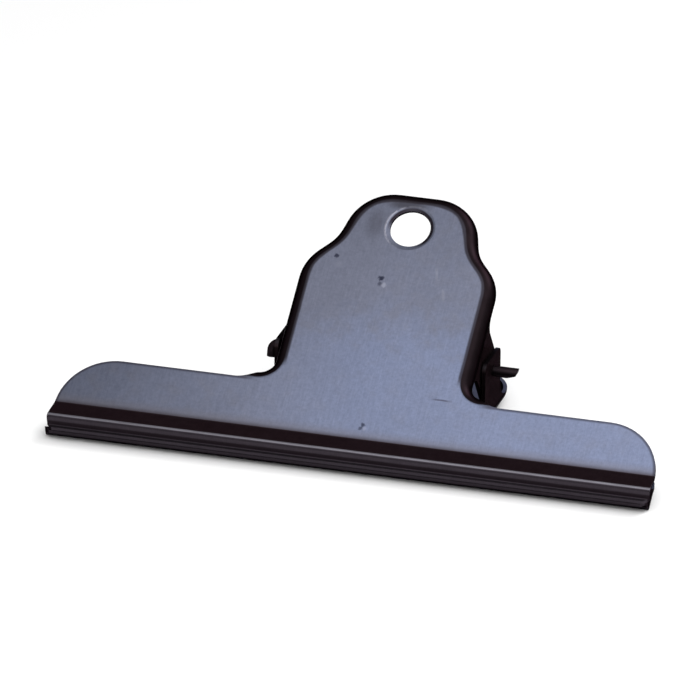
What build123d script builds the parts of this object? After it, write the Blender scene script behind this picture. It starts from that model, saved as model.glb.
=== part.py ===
from build123d import *
import os
from math import asin, atan2, ceil, cos, hypot, pi, radians, sin, sqrt, tan

# A sprung letter clip lying on its back plate. Two pressed steel plates, each a wide jaw bar with a
# handle rising from its middle, face each other and turn on a pin that passes through ears folded from
# the handles. A coil spring on the pin pushes the handles apart, which presses the jaws together.
#
# Millimetres. +X runs along the jaw, +Y from the mouth towards the handles, +Z up. The origin is under
# the middle of the clip, on the surface that it lies on.

os.makedirs("parts", exist_ok=True)

# ---- driving dimensions -------------------------------------------------------------------------
# sheet and folds
sheet = 0.9                   # plate thickness
rim_radius = 2.9              # outer radius of the rolled rim round each handle
flange_depth = 3.1            # how far the rim reaches behind the flat face
rim_run = 5.0                 # how far the rim runs along the bar's edge, where it dies away
rim_fade = 3.6                # it starts to die away this high above the bar's edge
rim_back = 1.2                # and this far before the end of the fillet

# the flat of each plate, measured from the bend at the top of its lip
bar_length = 149.7            # at the bend
bar_height = 13.3
corner_below = 0.7            # how far below the bend the middles of its round corners lie
end_slant = 6.0               # degrees that the ends below the corners lean outwards
foot_fillet = 6.5             # between the bar and the handle
nose_half = 11.7              # corner points of the handle's outline, before rounding
waist_half = 15.05
waist_over_ear = 17.5         # from the ear's upper edge to the waist
nose_length = 12.6            # from the waist to the handle's end
nose_corner = 9.0
waist_round = 13.4
shoulder_round = 9.0
shoulder_slope = 43.0         # degrees that the shoulder leans from upright
front_neck_half = 21.6
hang_radius = 4.95
hang_drop = 7.2               # from the handle's end to the hole's middle
dish_width = 1.2              # a shallow cone pressed round the hole
dish_depth = 0.3

# the lip below the bend, measured from the mouth, up and out from the plane between the jaws
mouth_gap = 0.16              # between the two closed jaws
contact_height = 1.0          # the flat that bites
lip_overhang = 0.35           # how far each end of the lip stands past the bar's end
lip_corner_cut = 0.4          # snipped lower corners of the lip
ridge_rise = 1.6              # the ridge's corner point, before rounding
ridge_out = 3.48
ridge_round = 1.0
bend_up = 7.45
bend_out = 2.6
bend_round = 1.0              # valley between the lip and the flat
root_round = 0.4              # valley between the biting flat and the wall above it
face_lap = 0.6                # flat that is drawn with the lip

# how the two plates stand
spread = 18.5                 # degrees from the middle plane to each flat
pin_height = 40.6             # from the mouth to the pin's axis
ear_gap = 1.0                 # between a front ear and the back ear outside it, plates in line
side_play = 0.35              # how far the front plate lies to +X and the back plate to -X

# ears
ear_past_pin = 4.2            # how far the ears reach past the pin's axis
ear_above = 6.1               # from the pin's axis to the ear's upper and lower edges
ear_below = 7.5
ear_corner = 1.8
front_ear_root = 3.0          # fillet where the ear's upper edge meets the rim
back_ear_root = 5.0
ear_foot = 3.0                # and where its lower edge does

# pin
pin_radius = 1.35
pin_fit = 0.06                # radial clearance in the ears
hook_fit = 0.9                # from the ear to the start of the bend at the hooked end
hook_bend = 1.5               # to the middle of the wire
hook_length = 3.2             # from the pin's axis to the end of the hook
hook_angle = 17.0             # degrees that the hook leans from straight down towards the mouth
hook_end = 0.3                # rounding of the hook's end
pin_past = 5.55               # how far the plain end reaches past the outer ears
nip_steep = 0.5               # the plain end is nipped off in two faces, a steep one above
nip_shallow = 3.0             # and a shallow one under it, with these lengths
nip_height = -0.15            # and this height above the axis between them, in pin radii

# spring
wire_radius = 0.9
coil_radius = 4.2             # to the middle of the wire
coil_pitch = 2.45
coil_turns = 11               # whole turns beside the part turn between the legs
leg_length = 22.0
leg_rest = 0.25               # from the wire to the plate that it presses

# ---- places worked out from them ----------------------------------------------------------------
bar_half = bar_length / 2
bar_corner = bar_height + corner_below
back_neck_half = front_neck_half + ear_gap + sheet
lean = radians(spread)


def lip_to_flat(up, out):
    """Turns a point measured from the mouth into one measured along and out of a plate's flat."""
    rise, reach = up - bend_up, out - bend_out
    return rise * cos(lean) + reach * sin(lean), reach * cos(lean) - rise * sin(lean)


def flat_to_lip(along, out):
    """Turns a point measured along and out of a plate's flat into one measured from the mouth."""
    return (
        bend_up + along * cos(lean) - out * sin(lean),
        bend_out + along * sin(lean) + out * cos(lean),
    )


pin_along, pin_out = lip_to_flat(pin_height, 0)
ear_depth = ear_past_pin - pin_out
waist_height = pin_along + ear_above + waist_over_ear
handle_height = waist_height + nose_length
hang_height = handle_height - hang_drop

# The clip lies on the round of the back ridge and the round of the back handle's end.
jaw_face = mouth_gap / 2 + sheet
ridge_corner = Vector(ridge_rise, ridge_out)
to_root = (Vector(contact_height, jaw_face) - ridge_corner).normalized()
to_bend = (Vector(bend_up, bend_out) - ridge_corner).normalized()
inset = ridge_round / to_root.cross(to_bend).length
ridge_up, ridge_centre, _ = ridge_corner + (to_root + to_bend) * inset
end_up, end_out = flat_to_lip(handle_height, -rim_radius)
lie = atan2(end_out - ridge_centre, end_up - ridge_up) + asin(
    (rim_radius - ridge_round) / hypot(end_out - ridge_centre, end_up - ridge_up)
)


def lying(up, out):
    """Y and Z, before the origin is set, of a point measured from the mouth; out is to the front."""
    return up * cos(lie) - out * sin(lie), up * sin(lie) + out * cos(lie)


rim_edge_up, rim_edge_out = flat_to_lip(handle_height + rim_radius, -flange_depth)
front_edge = lying(0, jaw_face)[0]
rear_edge = lying(rim_edge_up, -rim_edge_out)[0]
lowest = lying(ridge_up, -ridge_centre)[1] - ridge_round
mouth = Vector(0, -(front_edge + rear_edge) / 2, -lowest)
along_middle = Vector(0, cos(lie), sin(lie))
towards_front = Vector(0, -sin(lie), cos(lie))
pin_centre = mouth + along_middle * pin_height


def plate(side, neck_half, ear_root):
    """One pressed plate: lip, flat, rolled rim, two ears with pin holes, and the hanging hole.

    side is 1 for the front plate and -1 for the back one.
    """
    across = Vector(side, 0, 0)
    out = towards_front * side
    shift = side * side_play
    centre = mouth + Vector(shift, 0, 0)
    bend = centre + along_middle * bend_up + out * bend_out
    section = Plane(centre, x_dir=along_middle, z_dir=across)
    flat = Plane(bend, x_dir=across, z_dir=out * cos(lean) - along_middle * sin(lean))
    ear_outer = neck_half + rim_radius
    shoulder_height = waist_height - (neck_half - waist_half) / tan(radians(shoulder_slope))
    handle_corners = [
        (0, handle_height),
        (nose_half, handle_height),
        (waist_half, waist_height),
        (neck_half, shoulder_height),
    ]
    handle_rounds = [nose_corner, waist_round, shoulder_round]

    with BuildPart() as pressing:
        # One half of the plate is made and then mirrored. First the lip, folded like a gutter.
        with BuildSketch(section):
            with BuildLine():
                FilletPolyline(
                    (0, jaw_face),
                    (contact_height, jaw_face),
                    (ridge_rise, ridge_out),
                    (bend_up, bend_out),
                    (bend_up + face_lap * cos(lean), bend_out + face_lap * sin(lean)),
                    radius=[root_round, ridge_round, bend_round],
                )
                offset(amount=sheet, side=Side.RIGHT)
            make_face()
        lip_end = bar_half + lip_overhang
        extrude(amount=lip_end)
        with BuildSketch(Plane(centre, x_dir=across, z_dir=out)):
            with BuildLine():
                Polyline(
                    (lip_end, 0),
                    (lip_end, contact_height + lip_corner_cut),
                    (lip_end - lip_corner_cut - contact_height, 0),
                    close=True,
                )
            make_face()
        extrude(amount=ridge_out, mode=Mode.SUBTRACT)

        # the flat, with its round-ended bar and its handle
        slant = tan(radians(end_slant))
        corner_x = bar_half + corner_below * slant - bar_corner / cos(radians(end_slant))
        lap_x = bar_half - face_lap * slant
        with BuildSketch(flat):
            with BuildLine():
                FilletPolyline(
                    *handle_corners,
                    (neck_half, bar_height),
                    (corner_x, bar_height),
                    radius=handle_rounds + [foot_fillet],
                )
                end_arc = CenterArc((corner_x, -corner_below), bar_corner, 90, end_slant - 90)
                Polyline(end_arc @ 1, (lap_x, face_lap), (0, face_lap), (0, handle_height))
            make_face()
        extrude(amount=-sheet)

        # the ends of the wall between the flat and the ridge draw in to meet the flat's
        ridge_along = lip_to_flat(ridge_rise, ridge_out)[0]
        with BuildSketch(flat):
            with BuildLine():
                Polyline(
                    (lap_x, face_lap),
                    (bar_half, 0),
                    (lip_end, ridge_along),
                    (lip_end + sheet, ridge_along),
                    (lip_end + sheet, face_lap),
                    close=True,
                )
            make_face()
        extrude(amount=bend_up, both=True, mode=Mode.SUBTRACT)

        # the rolled rim, swept down the edge of the handle until it dies away along the bar
        foot_x = neck_half + foot_fillet
        with BuildLine(flat) as rim_path:
            FilletPolyline(
                *handle_corners,
                (neck_half, bar_height),
                (foot_x + rim_run, bar_height),
                radius=handle_rounds + [foot_fillet],
            )
        rim_plane = Plane(
            flat.from_local_coords((0, handle_height, 0)), x_dir=flat.y_dir, z_dir=flat.x_dir
        )
        with BuildSketch(rim_plane):
            with BuildLine():
                CenterArc((0, -rim_radius), rim_radius, 0, 90)
                Polyline(
                    (rim_radius, -rim_radius),
                    (rim_radius, -flange_depth),
                    (rim_radius - sheet, -flange_depth),
                    (rim_radius - sheet, -rim_radius),
                )
                CenterArc((0, -rim_radius), rim_radius - sheet, 0, 90)
                Line((0, -sheet), (0, 0))
            make_face()
        sweep(path=rim_path.wire())
        fade_x, fade_end_x = foot_x - rim_back, foot_x + rim_run
        with BuildSketch(flat):
            with BuildLine():
                fade = TangentArc(
                    (fade_end_x, bar_height), (fade_x, bar_height + rim_fade), tangent=(-1, 0)
                )
                Polyline(
                    fade @ 1,
                    (fade_x, bar_height + 2 * rim_fade),
                    (fade_end_x + rim_radius, bar_height + 2 * rim_fade),
                    (fade_end_x + rim_radius, bar_height),
                    fade @ 0,
                )
            make_face()
        extrude(amount=-flange_depth, mode=Mode.SUBTRACT)

        # the ear, which carries on down from the rim, and its hole for the pin
        ear_plane = Plane(
            flat.from_local_coords((ear_outer, 0, 0)), x_dir=flat.y_dir, z_dir=flat.x_dir
        )
        low, high = pin_along - ear_below, pin_along + ear_above
        with BuildSketch(ear_plane):
            with BuildLine():
                edge = FilletPolyline(
                    (low - ear_foot - sheet, -flange_depth),
                    (low, -flange_depth),
                    (low, -ear_depth),
                    (high, -ear_depth),
                    (high, -flange_depth),
                    (high + ear_root + sheet, -flange_depth),
                    radius=[ear_foot, ear_corner, ear_corner, ear_root],
                )
                Polyline(
                    edge @ 1,
                    (high + ear_root + sheet, -rim_radius),
                    (low - ear_foot - sheet, -rim_radius),
                    edge @ 0,
                )
            make_face()
            with Locations((pin_along, pin_out)):
                Circle(pin_radius + pin_fit, mode=Mode.SUBTRACT)
        extrude(amount=-sheet)
        mirror(about=Plane.YZ.offset(shift))

        # the hanging hole, in its dish
        with BuildSketch(flat):
            with Locations((0, hang_height)):
                Circle(hang_radius)
        extrude(amount=-sheet, mode=Mode.SUBTRACT)
        dish = Plane(flat.from_local_coords((0, hang_height, -dish_depth / 2)), z_dir=flat.z_dir)
        with Locations(dish):
            Cone(hang_radius, hang_radius + dish_width, dish_depth, mode=Mode.SUBTRACT)
    return pressing


front_plate = plate(1, front_neck_half, front_ear_root)
front_plate.part.label = "front_plate"
export_step(front_plate.part, "parts/front_plate.step")

back_plate = plate(-1, back_neck_half, back_ear_root)
back_plate.part.label = "back_plate"
export_step(back_plate.part, "parts/back_plate.step")


# ---- the pin: a wire, bent over at one end and nipped off at the other ---------------------------
ear_side = back_neck_half + rim_radius + side_play
hook_x = -(ear_side + hook_fit + hook_bend)
pin_tip = ear_side + pin_past
hook_way = Vector(0, -sin(radians(hook_angle)), -cos(radians(hook_angle)))
with BuildPart() as hinge_pin:
    with BuildLine(Plane(pin_centre, x_dir=(1, 0, 0), z_dir=hook_way.cross(Vector(1, 0, 0)))) as wire_line:
        FilletPolyline((hook_x, -hook_length), (hook_x, 0), (pin_tip, 0), radius=hook_bend)
    with BuildSketch(Plane(pin_centre + Vector(hook_x, 0, 0) + hook_way * hook_length, z_dir=-hook_way)):
        Circle(pin_radius)
    sweep(path=wire_line.wire())
    fillet(hinge_pin.edges().sort_by(Axis(pin_centre, hook_way))[-1], radius=hook_end)
    nip_z = nip_height * pin_radius
    with BuildSketch(Plane(pin_centre, x_dir=(1, 0, 0), z_dir=(0, -1, 0))):
        with BuildLine():
            Polyline(
                (pin_tip, pin_radius),
                (pin_tip - nip_steep, nip_z),
                (pin_tip - nip_steep - nip_shallow, -pin_radius),
                (pin_tip + pin_radius, -pin_radius),
                (pin_tip + pin_radius, pin_radius),
                close=True,
            )
        make_face()
    extrude(amount=pin_radius, both=True, mode=Mode.SUBTRACT)
hinge_pin.part.label = "hinge_pin"
export_step(hinge_pin.part, "parts/hinge_pin.step")


# ---- the spring: a coil round the pin with a straight leg against each plate ---------------------
press = -pin_out - sheet - wire_radius - leg_rest
leg_angle = lean + asin(press / hypot(coil_radius, leg_length)) - atan2(coil_radius, leg_length)
first_angle = pi / 2 + leg_angle
wound_angle = 2 * (pi - first_angle) + 2 * pi * coil_turns
half_turns = ceil(wound_angle / pi)
coil_length = coil_pitch * wound_angle / (2 * pi)


def coil_point(step):
    """A point on the middle of the wire, and its direction there, after this many half turns."""
    angle = first_angle + wound_angle * step / half_turns
    place = coil_length * (step / half_turns - 0.5)
    climb = 0 if step in (0, half_turns) else coil_pitch / (2 * pi)
    outward = along_middle * cos(angle) + towards_front * sin(angle)
    forward = towards_front * cos(angle) - along_middle * sin(angle)
    point = pin_centre + Vector(place, 0, 0) + outward * coil_radius
    return point, (forward * coil_radius + Vector(climb, 0, 0)).normalized()


def half_turn(start, end):
    """Two arcs that leave one point and reach the next along its direction, meeting smoothly."""
    (from_point, from_way), (to_point, to_way) = start, end
    step = to_point - from_point
    bend = 2 * (1 - from_way.dot(to_way))
    along = 2 * step.dot(from_way + to_way)
    reach = (sqrt(along**2 + 4 * bend * step.dot(step)) - along) / (2 * bend)
    from_corner, to_corner = from_point + from_way * reach, to_point - to_way * reach
    middle = (from_corner + to_corner) / 2
    TangentArc(from_point, middle, tangent=from_way)
    TangentArc(middle, to_point, tangent=to_corner - from_corner)


coil_points = [coil_point(step) for step in range(half_turns + 1)]
front_foot = coil_points[0][0] - coil_points[0][1] * leg_length
back_foot = coil_points[-1][0] + coil_points[-1][1] * leg_length

with BuildPart() as torsion_spring:
    with BuildLine() as wire_path:
        Line(front_foot, coil_points[0][0])
        for start, end in zip(coil_points, coil_points[1:]):
            half_turn(start, end)
        Line(coil_points[-1][0], back_foot)
    with BuildSketch(Plane(front_foot, z_dir=coil_points[0][1])):
        Circle(wire_radius)
    sweep(path=wire_path.wire())
torsion_spring.part.label = "torsion_spring"
export_step(torsion_spring.part, "parts/torsion_spring.step")

samples_per_turn = 48
sample_count = int(samples_per_turn * wound_angle / (2 * pi))
wire = wire_path.wire()
coil_share = [
    (leg_length + (wire.length - 2 * leg_length) * k / sample_count) / wire.length
    for k in range(sample_count + 1)
]
centres = [wire.position_at(share) for share in coil_share]
apart = min(
    (centres[i] - centres[j]).length
    for i in range(len(centres))
    for j in range(i + samples_per_turn * 2 // 3, min(i + samples_per_turn * 4 // 3, len(centres)))
)
print(f"least gap between the spring's turns: {apart - 2 * wire_radius:.2f} mm")
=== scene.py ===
from math import atan2, cos, pi, radians, sin

import bmesh
import bpy
from mathutils import Matrix, Vector


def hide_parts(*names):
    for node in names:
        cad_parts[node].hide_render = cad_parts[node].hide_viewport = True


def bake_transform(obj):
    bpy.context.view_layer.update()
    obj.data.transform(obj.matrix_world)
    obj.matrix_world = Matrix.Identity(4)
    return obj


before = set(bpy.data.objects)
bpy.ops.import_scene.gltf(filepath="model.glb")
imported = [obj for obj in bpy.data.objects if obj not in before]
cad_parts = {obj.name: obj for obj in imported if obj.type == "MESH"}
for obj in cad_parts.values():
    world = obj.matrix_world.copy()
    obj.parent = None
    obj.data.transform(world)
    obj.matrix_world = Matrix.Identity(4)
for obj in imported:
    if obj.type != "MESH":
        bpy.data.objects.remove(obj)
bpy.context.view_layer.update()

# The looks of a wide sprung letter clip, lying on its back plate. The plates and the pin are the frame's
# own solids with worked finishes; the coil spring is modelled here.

MM = 0.001

# ---- the clip's own axes --------------------------------------------------------------------------
LIE = radians(16.5978)                      # how far the plane between the jaws leans up
SPREAD = radians(18.5)                      # from that plane to each plate's flat
ALONG_MIDDLE = Vector((0, cos(LIE), sin(LIE)))
TOWARDS_FRONT = Vector((0, -sin(LIE), cos(LIE)))
MOUTH = Vector((0, -38.6894, 2.58291)) * MM
PIN_CENTRE = Vector((0, 0.218964, 14.1804)) * MM
SIDE_PLAY = 0.35 * MM
BEND_UP, BEND_OUT = 7.45 * MM, 2.6 * MM     # the fold under each flat, from the mouth


class PlateAxes:
    """Where one plate's flat and lip lie; side is 1 for the front plate and -1 for the back one."""

    def __init__(self, side):
        self.out = TOWARDS_FRONT * side
        self.mouth = MOUTH + Vector((side * SIDE_PLAY, 0, 0))
        self.bend = self.mouth + ALONG_MIDDLE * BEND_UP + self.out * BEND_OUT
        self.across = Vector((side, 0, 0))
        self.up_flat = ALONG_MIDDLE * cos(SPREAD) + self.out * sin(SPREAD)
        self.off_flat = self.out * cos(SPREAD) - ALONG_MIDDLE * sin(SPREAD)


# ---- finishes -------------------------------------------------------------------------------------
class Val:
    """A shader socket that takes part in sums."""

    def __init__(self, finish, socket):
        self.finish, self.socket = finish, socket

    def maths(self, operation, *values):
        return self.finish.node("ShaderNodeMath", {"operation": operation}, list(values))

    def __add__(self, other):
        return self.maths("ADD", self, other)

    def __radd__(self, other):
        return self.maths("ADD", other, self)

    def __sub__(self, other):
        return self.maths("SUBTRACT", self, other)

    def __rsub__(self, other):
        return self.maths("SUBTRACT", other, self)

    def __mul__(self, other):
        return self.maths("MULTIPLY", self, other)

    def __rmul__(self, other):
        return self.maths("MULTIPLY", other, self)


GRAZING_TINT = (0.22, 0.19, 0.21)           # keeps the steel dark where it is seen edge-on


class Finish:
    """A material that is written as sums on its sockets."""

    def __init__(self, name):
        self.material = bpy.data.materials.new(name)
        self.material.use_nodes = True
        self.tree = self.material.node_tree
        self.shader = self.tree.nodes["Principled BSDF"]
        coordinates = self.tree.nodes.new("ShaderNodeTexCoord")
        self.place = Val(self, coordinates.outputs["Object"])
        self.normal = Val(self, coordinates.outputs["Normal"])

    def node(self, kind, settings, inputs, output=0):
        """Adds a node: its settings first, then its sockets' values or links; gives one output."""
        made = self.tree.nodes.new(kind)
        for name, value in settings.items():
            setattr(made, name, value)
        pairs = inputs.items() if isinstance(inputs, dict) else enumerate(inputs)
        for key, value in pairs:
            if isinstance(value, Val):
                self.tree.links.new(value.socket, made.inputs[key])
            elif value is not None:
                made.inputs[key].default_value = value
        return Val(self, made.outputs[output])

    def dot(self, vector, axis):
        return self.node("ShaderNodeVectorMath", {"operation": "DOT_PRODUCT"}, [vector, tuple(axis)], "Value")

    def measure(self, origin, axis):
        """How many millimetres a point lies along an axis from an origin."""
        return (self.dot(self.place, axis) - Vector(origin).dot(Vector(axis))) * (1 / MM)

    def rise(self, value, low, high):
        """0 below low, 1 above high, smooth between; low may be above high."""
        if low > high:
            return 1 - self.rise(value, high, low)
        return self.node(
            "ShaderNodeMapRange", {"interpolation_type": "SMOOTHSTEP"},
            {"Value": value, "From Min": low, "From Max": high},
        )

    def mix(self, share, first, second):
        first, second = (c if isinstance(c, Val) else (*c, 1) for c in (first, second))
        return self.node(
            "ShaderNodeMix", {"data_type": "RGBA"}, {0: share, 6: first, 7: second}, 2
        )

    def size(self, value):
        return self.node("ShaderNodeMath", {"operation": "ABSOLUTE"}, [value])

    def above(self, value):
        """The value where it is over nothing, and nothing elsewhere."""
        return self.larger(value, 0.0)

    def larger(self, first, second):
        return self.node("ShaderNodeMath", {"operation": "MAXIMUM"}, [first, second])

    def rounded(self, operation, first, second, distance):
        """SMOOTH_MIN or SMOOTH_MAX of two values."""
        return self.node("ShaderNodeMath", {"operation": operation}, [first, second, distance])

    def length(self, x, y):
        return self.node("ShaderNodeMath", {"operation": "SQRT"}, [x * x + y * y])

    def scaled(self, colour, amount):
        """A colour made lighter or darker by a share."""
        colour = colour if isinstance(colour, Val) else tuple(colour)
        return self.node("ShaderNodeVectorMath", {"operation": "SCALE"}, {0: colour, "Scale": amount})

    def vector(self, x, y, z):
        return self.node("ShaderNodeCombineXYZ", {}, [x, y, z])

    def noise(self, place, scale, detail=3.0, rough=0.55):
        return self.node(
            "ShaderNodeTexNoise", {},
            {"Vector": place, "Scale": scale, "Detail": detail, "Roughness": rough}, "Fac",
        )

    def cover(self, base, roughness, bump, strength, distance, metallic=1.0):
        link = self.tree.links.new
        self.shader.inputs["Specular Tint"].default_value = (*GRAZING_TINT, 1)
        for name, value in (("Base Color", base), ("Roughness", roughness), ("Metallic", metallic)):
            if isinstance(value, Val):
                link(value.socket, self.shader.inputs[name])
            else:
                self.shader.inputs[name].default_value = value
        relief = self.node(
            "ShaderNodeBump", {}, {"Strength": strength, "Distance": distance, "Height": bump}
        )
        link(relief.socket, self.shader.inputs["Normal"])
        return self.material


# ---- the plates: sizes in mm on the flat, from the fold up and from the middle across ----------------
BAR_CORNER_X, BAR_CORNER_Y, BAR_CORNER = 60.84, -0.7, 14.0
WAIST_HALF, WAIST_UP, SHOULDER_SLOPE = 15.05, 54.2, radians(43)
NOSE_HALF, HANDLE_UP = 11.7, 66.8
WAIST_SOFT, SHOULDER_SOFT, NOSE_SOFT = 2.4, 3.8, 11.2           # how far the outline's corners are eased
FRONT_NECK, EAR_GAP, SHEET = 21.6, 1.0, 0.9
BACK_NECK = FRONT_NECK + EAR_GAP + SHEET
HOLE_UP = 59.6
DISH_INNER, DISH_OUTER = 5.85, 6.4

FLAT_STEEL = (0.148, 0.171, 0.256)
FLAT_GREYER_AND_SHADED = (0.134, 0.143, 0.192)
FOLD_WARM_SHADE = (0.125, 0.115, 0.130)
FOLD_BROWN_SHADE = (0.050, 0.042, 0.050)
CUT_EDGE_SHADE = (0.036, 0.033, 0.045)
BY_RIM_SHADE = (0.024, 0.019, 0.023)
RIM_SHADE = (0.0125, 0.0088, 0.0105)
EAR_SHADE = (0.040, 0.027, 0.031)
INSIDE_SHADE = (0.020, 0.017, 0.020)
INSIDE_STEEL = (0.128, 0.140, 0.192)
WALL_SHADE = (0.026, 0.0175, 0.0205)
ROOT_SHADE = (0.014, 0.010, 0.013)
LIP_GREY = (0.046, 0.038, 0.047)
RIDGE_HIGHLIGHT = (0.200, 0.193, 0.222)
RING_HIGHLIGHT = (0.27, 0.27, 0.32)
DISH_SHADE = (0.016, 0.012, 0.016)
DULL_PATCH = (0.045, 0.043, 0.054)
NICK_DARK = (0.020, 0.022, 0.040)
GLINT_HIGHLIGHT = (0.30, 0.31, 0.38)
SCRATCH_DARK = (0.050, 0.046, 0.066)
RUB_PALE = (0.26, 0.27, 0.32)

NICKS = [                                   # across, up, reach and strength
    (-3.8, 44.9, 0.95, 0.95), (-3.7, 43.3, 0.9, 0.6), (-16.1, 49.6, 0.85, 0.85),
    (1.3, 4.1, 0.75, 0.8), (0.9, 3.1, 0.7, 0.7),
]
GLINTS = [(-2.8, 43.1, 0.9, 0.5), (1.9, 3.2, 0.7, 0.3), (-15.0, 47.4, 1.2, 0.10)]
SCRATCH_X, SCRATCH_Y = 18.6, 13.5
RUBS = [(9.4, 47.9, 2.3), (12.3, 42.3, 2.2)]    # across, up and half length
RUB_LEAN = -0.23


class PlateFinish(Finish):
    """Dark plated steel: brushed, cloudy flats, with near-black painted shade on the rolled rims and folds
    and painted shade beside the edges.
    """

    def __init__(self, name, axes, neck_half, contact_grey):
        super().__init__(name)
        self.x = self.measure(axes.bend, axes.across)
        self.y = self.measure(axes.bend, axes.up_flat)
        self.z = self.measure(axes.bend, axes.off_flat)
        self.up = self.measure(axes.mouth, ALONG_MIDDLE)
        self.out = self.measure(axes.mouth, axes.out)
        self.facing = self.dot(self.normal, axes.off_flat)
        self.tilt = self.dot(self.normal, ALONG_MIDDLE)
        self.aside = self.size(self.x)
        self.hole_out = self.length(self.x, self.y - HOLE_UP)
        self.neck_half, self.contact_grey = neck_half, contact_grey
        self.grain()

    def grain(self):
        """Fine lines up and across the flat, fine speckle, small patches and slow clouds."""
        x, y, z = self.x, self.y, self.z
        flat_place = self.vector(x, y, z)
        self.streaks = self.noise(self.vector(x * 3.0, y * 0.14, z), 1.0, 4.0, 0.6)
        self.cross_lines = self.noise(self.vector(x * 0.22, y * 2.4, z), 1.0, 3.0, 0.6)
        self.speckle = self.noise(flat_place, 1.4, 4.0, 0.65)
        self.mottle = self.noise(self.vector(x * 0.9, y * 0.45, z), 1.0, 3.0, 0.6)
        self.cloud = self.noise(flat_place, 0.045, 3.0, 0.5)
        self.patches = self.noise(flat_place, 0.22, 3.0, 0.55)
        self.wander = (self.patches - 0.5) * 0.5

    def shade(self):
        """How light the steel is: the grain, and painted shade that darkens the left side and the end of the
        handle, where the light falls off.
        """
        # painted shade: darker towards the left end and the handle's end, where the lamp's light falls off
        painted_falloff_shade = self.rise(self.x + 14 * (self.cloud - 0.5), -20, -75) * 0.26
        painted_falloff_shade = painted_falloff_shade + self.rise(self.y, 46, 64) * 0.10
        slow = (0.82 + 0.22 * self.cloud + 0.20 * self.patches) * (1 - painted_falloff_shade)
        lines = 0.34 * (self.streaks - 0.5) + 0.10 * (self.cross_lines - 0.5)
        return slow * (1 + lines + 0.45 * (self.speckle - 0.5)) * (1 + 0.30 * (self.mottle - 0.5))

    def greyer_and_shaded(self):
        """Where the steel is greyer: painted shade on the upper half and the left side, where the light falls
        off, and a greyer tone in loose patches.
        """
        # painted shade: greyer and darker towards the top and the left
        upper = self.rise(self.y + 16 * (self.patches - 0.5), 22, 42) * 0.85
        left = self.rise(self.x + 14 * (self.patches - 0.5), 2, -32) * 0.7
        return upper + left + self.rise(self.patches, 0.42, 0.75) * 0.35

    def handle_in(self):
        """How far a point lies inside the handle's outline: its sides, shoulders, nose and end."""
        def inside_of(lean):
            return (self.aside - WAIST_HALF) * -cos(lean) - (self.y - WAIST_UP) * sin(lean)

        nose_lean = atan2(WAIST_HALF - NOSE_HALF, HANDLE_UP - WAIST_UP)
        above_waist = self.rounded("SMOOTH_MAX", inside_of(SHOULDER_SLOPE), inside_of(nose_lean), WAIST_SOFT)
        side_in = self.rounded("SMOOTH_MIN", self.neck_half - self.aside, above_waist, SHOULDER_SOFT)
        return self.rounded("SMOOTH_MIN", side_in, HANDLE_UP - self.y, NOSE_SOFT)

    def with_hole(self, face):
        """A shallow dish with a painted highlight in a broken ring and painted shade inside it, and dull
        patches beside and above it.
        """
        x, above_hole = self.x, self.y - HOLE_UP
        # painted highlight: a broken bright ring on one side of the dish
        ring = self.rise(self.hole_out, DISH_INNER, 6.05)
        ring = ring * self.rise(self.hole_out + (self.mottle - 0.5) * 1.2, 6.55, 6.25)
        ring = ring * self.rise(x * -0.85 + above_hole * 0.5, -1.5, 3.5)
        face = self.mix(ring * self.rise(self.mottle, 0.30, 0.60) * 0.9, face, RING_HIGHLIGHT)
        # painted shade: the dish's inner wall darker on one side
        dish = self.rise(self.hole_out + self.wander * 0.5, DISH_INNER, 5.55)
        dish = dish * self.rise(x * 0.45 + above_hole * 0.85, -4.2, -0.5)
        face = self.mix(dish * 0.95, face, DISH_SHADE)
        beside = self.rise(self.length(x + 8.6, above_hole * 0.55), 3.2, 0.6) * 0.38
        above = self.rise(self.length(x * 0.32 + 0.6, self.y - 66.0 + self.wander * 2), 2.3, 0.5) * 0.8
        return self.mix(beside + above, face, DULL_PATCH)

    def with_marks(self, face):
        """Marks from use: nicks with painted glints beside them, a scratch and pale rubs."""
        # the nicks are dark marks, and the glints are painted highlights beside them
        for marks, colour in ((NICKS, NICK_DARK), (GLINTS, GLINT_HIGHLIGHT)):
            for mark_x, mark_y, reach, strength in marks:
                away = self.length(self.x - mark_x, self.y - mark_y) + 1.6 * (self.speckle - 0.5) * reach
                face = self.mix(self.rise(away, reach, reach * 0.35) * strength, face, colour)
        scratch = self.rise(self.size(self.y - SCRATCH_Y + self.wander * 0.6), 0.34, 0.08)
        scratch = scratch * self.rise(self.size(self.x - SCRATCH_X), 3.2, 0.6)
        face = self.mix(scratch * 0.75, face, SCRATCH_DARK)
        for rub_x, rub_y, half_length in RUBS:
            rub = self.rise(self.size(self.x - rub_x - (self.y - rub_y) * RUB_LEAN), 0.55, 0.15)
            rub = rub * self.rise(self.size(self.y - rub_y), half_length, 1.0)
            face = self.mix(rub * 0.22, face, RUB_PALE)
        return face

    def with_edges(self, face):
        """Painted shade: brown next to the fold, and dark beside the cut edges and the rolled rim."""
        # painted shade: the flat goes brown and dark where it turns into the fold
        face = self.mix(self.rise(self.y + self.wander * 2, 3.4, 0.8) * 0.45, face, FOLD_WARM_SHADE)
        face = self.mix(self.rise(self.y + self.wander, 1.45, -0.1) * 0.86, face, FOLD_BROWN_SHADE)
        # painted shade: a dark line along the bar's ends and top edge, where a rounded cut edge would turn
        # away from the light
        past_corner = self.above(self.aside - BAR_CORNER_X), self.above(self.y - BAR_CORNER_Y)
        edge_in = BAR_CORNER - self.length(*past_corner)
        line = self.rise(edge_in + self.wander * 0.4, 0.85, 0.30) * self.rise(self.aside, 27.0, 31.0)
        face = self.mix(line * 0.75, face, CUT_EDGE_SHADE)
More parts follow.
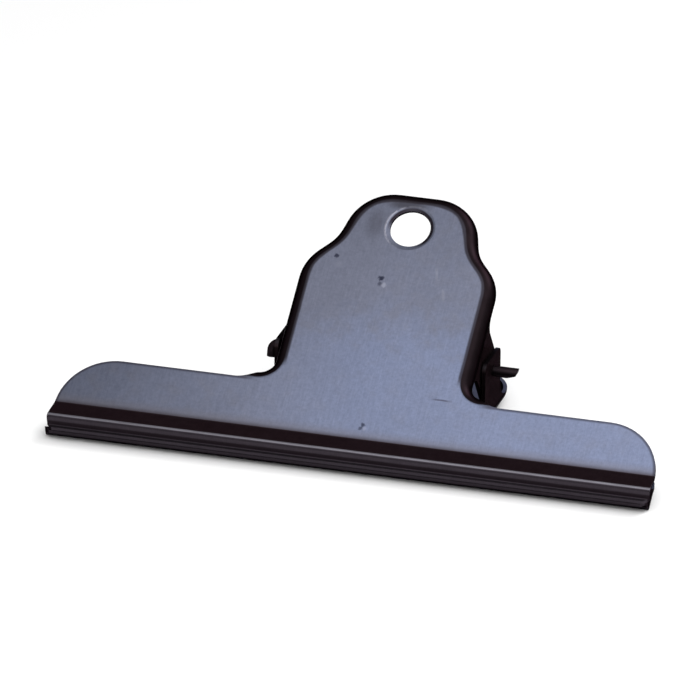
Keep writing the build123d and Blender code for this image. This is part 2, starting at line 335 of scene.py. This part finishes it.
        # painted shade: the face darkens just inside the rolled rim
        by_rim_shade = self.rise(self.handle_in() + self.wander * 0.4, 0.50, 0.0) * self.rise(self.y, 17.0, 20.5)
        return self.mix(by_rim_shade * 0.85, face, BY_RIM_SHADE)

    def rims_and_inside(self, shade):
        """Painted shade: near-black rims and ears, and inner faces of bare steel that are painted dark beside
        the ears and where they turn.
        """
        # painted shade: rims and ears near-black, darkest deep down at the ears
        rim = self.mix(self.rise(self.z, -2.9, -3.6), RIM_SHADE, EAR_SHADE)
        # painted shade: the inner faces go dark between the plates beside the ears and where the sheet turns
        shade_by_ears = self.rise(self.aside, 13.5, 17.0) * self.rise(self.aside, 33.0, 29.0)
        shade_by_ears = shade_by_ears * self.rise(self.y, 40.0, 32.0)
        inner_flat = self.rise(self.facing, -0.90, -0.99) * (1 - shade_by_ears)
        inside_face = self.mix(inner_flat, INSIDE_SHADE, self.scaled(INSIDE_STEEL, shade))
        return self.mix(
            self.rise(self.facing, -0.2, -0.6), self.scaled(rim, 0.6 + 0.8 * self.patches), inside_face
        )

    def with_lip(self, dark):
        """Painted shade on the wall under the fold and darker at its root, a painted highlight along the
        ridge, a grey band below it and grey biting edges.
        """
        band = self.rise(self.out, 1.75, 2.25) * 0.75
        grey = self.larger(band, self.rise(self.up, 1.05, 0.65) * self.contact_grey)
        # painted shade: the lip's wall dark and its root darker
        colour = self.mix(self.rise(self.up, 2.3, 1.9), WALL_SHADE, self.mix(grey, ROOT_SHADE, LIP_GREY))
        lip = self.rise(self.y, 0.3, 0.0) * self.rise(self.z, -4.2, -3.4)
        dark = self.mix(lip, dark, self.scaled(colour, 0.55 + 0.5 * self.streaks + 0.4 * self.cross_lines))
        # painted highlight: a bright line where the ridge faces the same way as the flat
        ridge = self.rise(self.tilt, 0.14, 0.04) * self.rise(self.tilt, -0.64, -0.36)
        ridge = ridge * self.rise(self.out, 2.8, 3.0) * self.rise(self.y, 0.5, -0.5)
        return self.mix(ridge * (0.60 + 0.8 * (self.cross_lines - 0.3)), dark, RIDGE_HIGHLIGHT)

    def outer_face(self):
        """1 on the outer face of the flat and in the dish, and 0 on the rims, folds and inside."""
        in_dish = self.rise(self.hole_out, DISH_OUTER, 6.2) * self.rise(self.facing, 0.90, 0.95)
        turned_out = self.larger(self.rise(self.facing, 0.982, 0.9995), in_dish)
        return turned_out * self.rise(self.y, -0.20, 0.25) * self.rise(self.z, -0.7, -0.35)

    def plate(self):
        shade = self.shade()
        face = self.scaled(self.mix(self.greyer_and_shaded(), FLAT_STEEL, FLAT_GREYER_AND_SHADED), shade)
        face = self.with_edges(self.with_marks(self.with_hole(face)))
        dark = self.with_lip(self.rims_and_inside(shade))
        relief = self.streaks + 0.5 * self.cross_lines + 0.5 * self.speckle
        roughness = 0.30 + 0.10 * self.patches + 0.08 * self.streaks
        return self.cover(self.mix(self.outer_face(), dark, face), roughness, relief, 0.12, 0.03 * MM)


PIN_STEEL, PIN_RUBBED = (0.020, 0.0145, 0.0175), (0.055, 0.047, 0.052)
SPRING_STEEL, SPRING_RUBBED = (0.045, 0.043, 0.047), (0.15, 0.15, 0.16)


def drawn_finish(name, colour, bright):
    """Drawn steel wire: dull and dark, with fine lines along it and a few brighter rubs."""
    f = Finish(name)
    lines = f.noise(f.place, 2200.0, 3.0)
    rubs = f.rise(f.noise(f.place, 420.0, 3.0), 0.52, 0.72)
    base = f.mix(rubs * 0.6, f.scaled(colour, 0.8 + 0.4 * lines), bright)
    return f.cover(base, 0.34 + 0.14 * lines, lines, 0.2, 0.02 * MM)


def dress(node, material):
    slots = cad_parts[node].data.materials
    if len(slots):
        for index in range(len(slots)):
            slots[index] = material
    else:
        slots.append(material)


dress("front_plate", PlateFinish("front_plate_steel", PlateAxes(1), FRONT_NECK, 1.0).plate())
dress("back_plate", PlateFinish("back_plate_steel", PlateAxes(-1), BACK_NECK, 0.6).plate())
dress("hinge_pin", drawn_finish("pin_steel", PIN_STEEL, PIN_RUBBED))

# ---- the spring -----------------------------------------------------------------------------------
WIRE_RADIUS = 0.9 * MM
COIL_RADIUS = 4.2 * MM
COIL_PITCH = 2.45 * MM
COIL_TURNS = 11
LEG_LENGTH = 22 * MM
LEG_ANGLE = radians(36.9139)
STEPS_PER_TURN = 36
WIRE_SIDES = 14


def coil_spring():
    """A wire circle drawn up the front leg, spun along the coil and drawn down the back leg."""
    first_angle = radians(90) + LEG_ANGLE
    wound_angle = 2 * (radians(180) - first_angle) + radians(360) * COIL_TURNS
    steps = round(wound_angle / radians(360) * STEPS_PER_TURN)
    coil_length = COIL_PITCH * wound_angle / radians(360)

    def heading(angle):
        return TOWARDS_FRONT * cos(angle) - ALONG_MIDDLE * sin(angle)

    def outward(angle):
        return ALONG_MIDDLE * cos(angle) + TOWARDS_FRONT * sin(angle)

    start = PIN_CENTRE + outward(first_angle) * COIL_RADIUS - Vector((coil_length / 2, 0, 0))
    way_in, way_out = heading(first_angle), heading(first_angle + wound_angle)
    bm = bmesh.new()
    ring = bmesh.ops.create_circle(bm, segments=WIRE_SIDES, radius=WIRE_RADIUS)["verts"]
    turn = Vector((0, 0, 1)).rotation_difference(way_in).to_matrix().to_4x4()
    bmesh.ops.transform(bm, matrix=Matrix.Translation(start - way_in * LEG_LENGTH) @ turn, verts=ring)

    def draw_out(edges, shift):
        made = bmesh.ops.extrude_edge_only(bm, edges=edges)["geom"]
        moved = [v for v in made if isinstance(v, bmesh.types.BMVert)]
        bmesh.ops.translate(bm, vec=shift, verts=moved)
        return [e for e in made if isinstance(e, bmesh.types.BMEdge) and all(v in moved for v in e.verts)]

    edges = draw_out(bm.edges[:], way_in * LEG_LENGTH)
    spun = bmesh.ops.spin(
        bm, geom=edges, cent=PIN_CENTRE, axis=(1, 0, 0), dvec=(coil_length / steps, 0, 0),
        angle=wound_angle, steps=steps,
    )["geom_last"]
    edges = [e for e in spun if isinstance(e, bmesh.types.BMEdge)]
    draw_out(edges, way_out * LEG_LENGTH)
    ends = bmesh.ops.holes_fill(bm, edges=[e for e in bm.edges if e.is_boundary], sides=0)["faces"]
    bmesh.ops.bevel(
        bm, geom=[e for face in ends for e in face.edges], affect="EDGES", offset=0.15 * MM,
        segments=2, profile=0.5, material=-1,
    )
    bmesh.ops.recalc_face_normals(bm, faces=bm.faces[:])
    mesh = bpy.data.meshes.new("coil_spring")
    bm.to_mesh(mesh)
    bm.free()
    for polygon in mesh.polygons:
        polygon.use_smooth = True
    made = bpy.data.objects.new("coil_spring", mesh)
    bpy.context.scene.collection.objects.link(made)
    return made


spring = coil_spring()
spring.data.materials.append(drawn_finish("spring_wire", SPRING_STEEL, SPRING_RUBBED))
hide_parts("torsion_spring")
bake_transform(spring)

# ---- floor, light and camera ----------------------------------------------------------------------
scene = bpy.context.scene
scene.view_settings.view_transform = "Standard"
FLOOR_WHITE = 0.93
SURROUND = 0.60


def floor():
    bm = bmesh.new()
    bmesh.ops.create_grid(bm, x_segments=1, y_segments=1, size=6)
    mesh = bpy.data.meshes.new("floor")
    bm.to_mesh(mesh)
    bm.free()
    made = bpy.data.objects.new("floor", mesh)
    scene.collection.objects.link(made)
    f = Finish("floor_white")
    f.shader.inputs["Base Color"].default_value = (FLOOR_WHITE, FLOOR_WHITE, FLOOR_WHITE, 1)
    f.shader.inputs["Roughness"].default_value = 1.0
    f.shader.inputs["Specular IOR Level"].default_value = 0.0
    made.data.materials.append(f.material)
    return made


floor()


def soft_lamp(name, place, target, width, radiance):
    """A round lamp of an even brightness, which mirrors show as a disc of that brightness."""
    lamp = bpy.data.lights.new(name, "AREA")
    lamp.shape, lamp.size = "DISK", width
    lamp.energy = radiance * pi * pi * width**2 / 4
    made = bpy.data.objects.new(name, lamp)
    scene.collection.objects.link(made)
    made.location = place
    made.rotation_euler = (Vector(target) - Vector(place)).to_track_quat("-Z", "Y").to_euler()
    made.visible_camera = False
    return made


soft_lamp("overhead", (0.10, -0.20, 0.32), (0.10, -0.20, 0), 0.52, 1.5)
soft_lamp("key", (0.9, 1.2, 1.6), (0, 0, 0), 1.2, 6.6)

world = bpy.data.worlds.new("studio")
scene.world = world
world.use_nodes = True
surround = world.node_tree.nodes["Background"]
surround.inputs["Color"].default_value = (1, 1, 1, 1)
surround.inputs["Strength"].default_value = SURROUND

VIEW_AZIMUTH, VIEW_ELEVATION, VIEW_ROLL = radians(15.7989), radians(24.7304), radians(0.3496)
VIEW_TARGET = Vector((-3.1131, -23.9222, 26.5535)) * MM
VIEW_DISTANCE = 6417 * MM
VIEW_WIDTH = 168.01 * MM                    # what the frame takes in at that distance
SENSOR = 36

camera = bpy.data.objects.new("camera", bpy.data.cameras.new("camera"))
scene.collection.objects.link(camera)
camera.data.sensor_width = SENSOR
camera.data.lens = SENSOR * VIEW_DISTANCE / VIEW_WIDTH
camera.data.clip_start, camera.data.clip_end = 0.1, 30
turned = (
    Matrix.Rotation(VIEW_AZIMUTH, 4, "Z")
    @ Matrix.Rotation(radians(90) - VIEW_ELEVATION, 4, "X")
    @ Matrix.Rotation(VIEW_ROLL, 4, "Z")
)
camera.matrix_world = Matrix.Translation(VIEW_TARGET + turned.col[2].xyz * VIEW_DISTANCE) @ turned
scene.camera = camera
